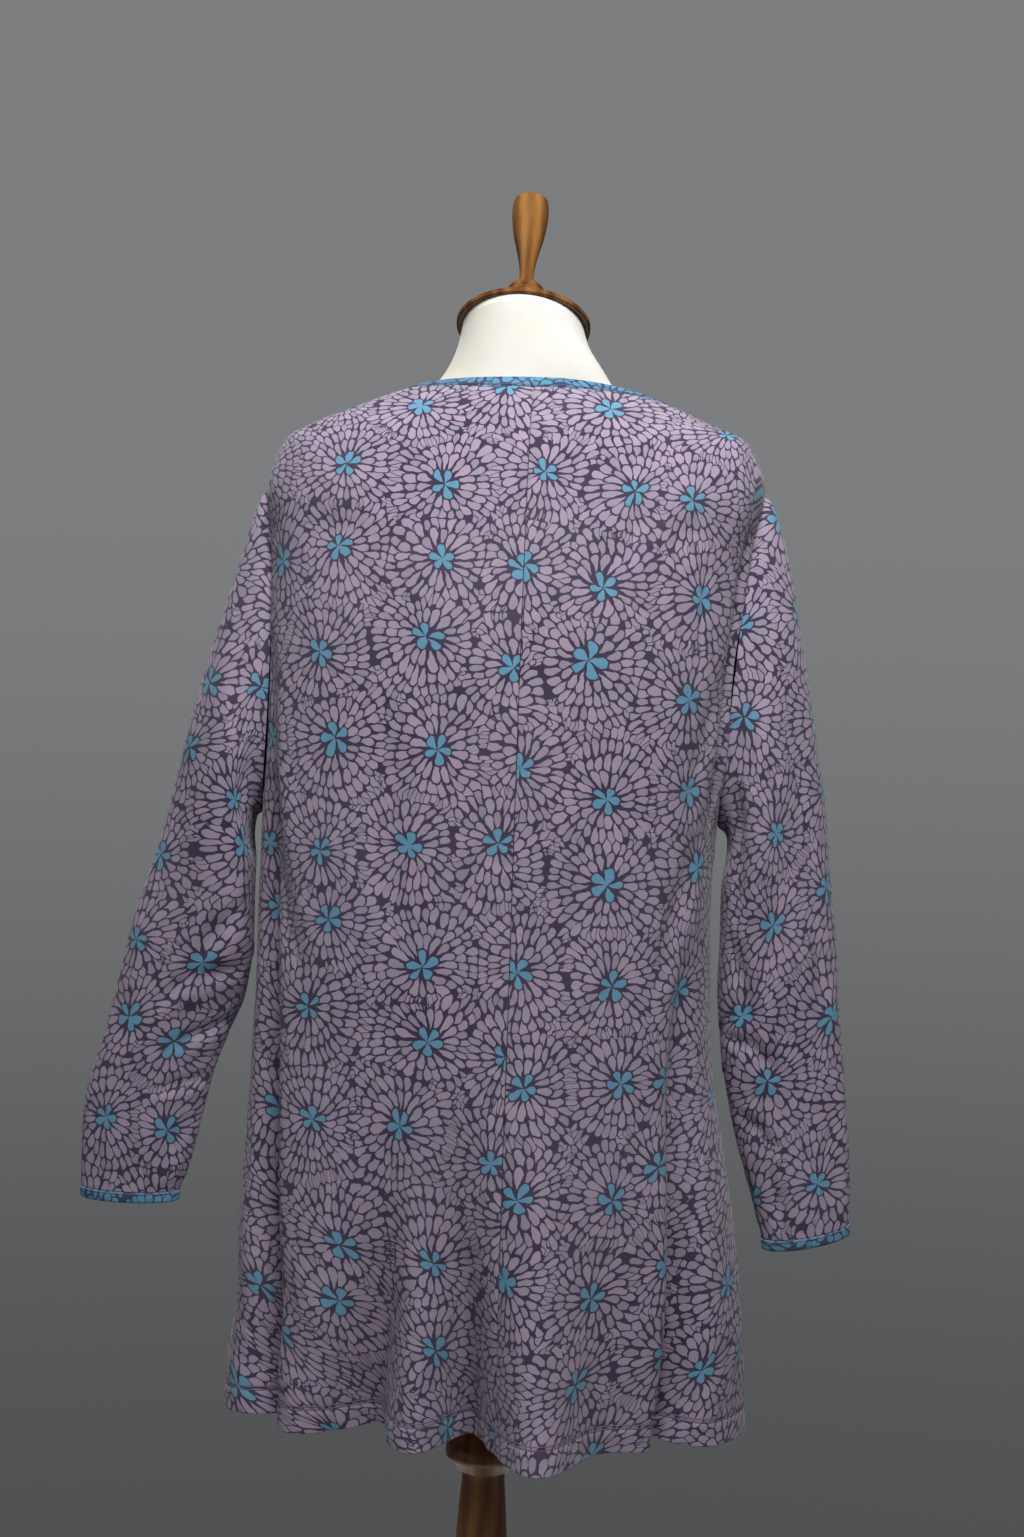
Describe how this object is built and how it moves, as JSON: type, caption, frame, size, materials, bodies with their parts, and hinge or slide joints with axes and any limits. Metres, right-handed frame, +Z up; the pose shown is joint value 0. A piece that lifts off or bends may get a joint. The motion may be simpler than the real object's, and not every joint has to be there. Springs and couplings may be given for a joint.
{
  "type": "shift dress on a limbless dress form with a wooden stand",
  "caption": "Loose long-sleeved shift dress in printed jersey with bound neck and cuffs, on a limbless cream dress form with a turned wood cap, pole and round base",
  "frame": {"origin": "the middle of the base's flat underside, on the floor that the stand stands on", "axes": "+Z up along the pole; the wearer faces -Y, so the back of the dress faces +Y; +X is the wearer's left"},
  "size_m": [0.6259, 0.348, 1.5952],
  "materials": {
    "printed_jersey": "soft matte cotton jersey, mauve petals on aubergine with blue flowers",
    "binding_jersey": "matte cotton jersey, blue petals on navy",
    "form_cover": "smooth matte cream cover",
    "varnished_wood": "glossy varnish, honey to red-brown"
  },
  "bodies": {
    "root": {"back_left": "printed_jersey", "back_right": "printed_jersey", "front": "printed_jersey", "sleeve_left": "printed_jersey", "sleeve_right": "printed_jersey", "neck_binding": "binding_jersey", "cuff_binding_left": "binding_jersey", "cuff_binding_right": "binding_jersey", "torso": "form_cover", "neck_cap": "varnished_wood", "finial": "varnished_wood", "pole": "varnished_wood", "base": "varnished_wood"}
  },
  "joints": []
}
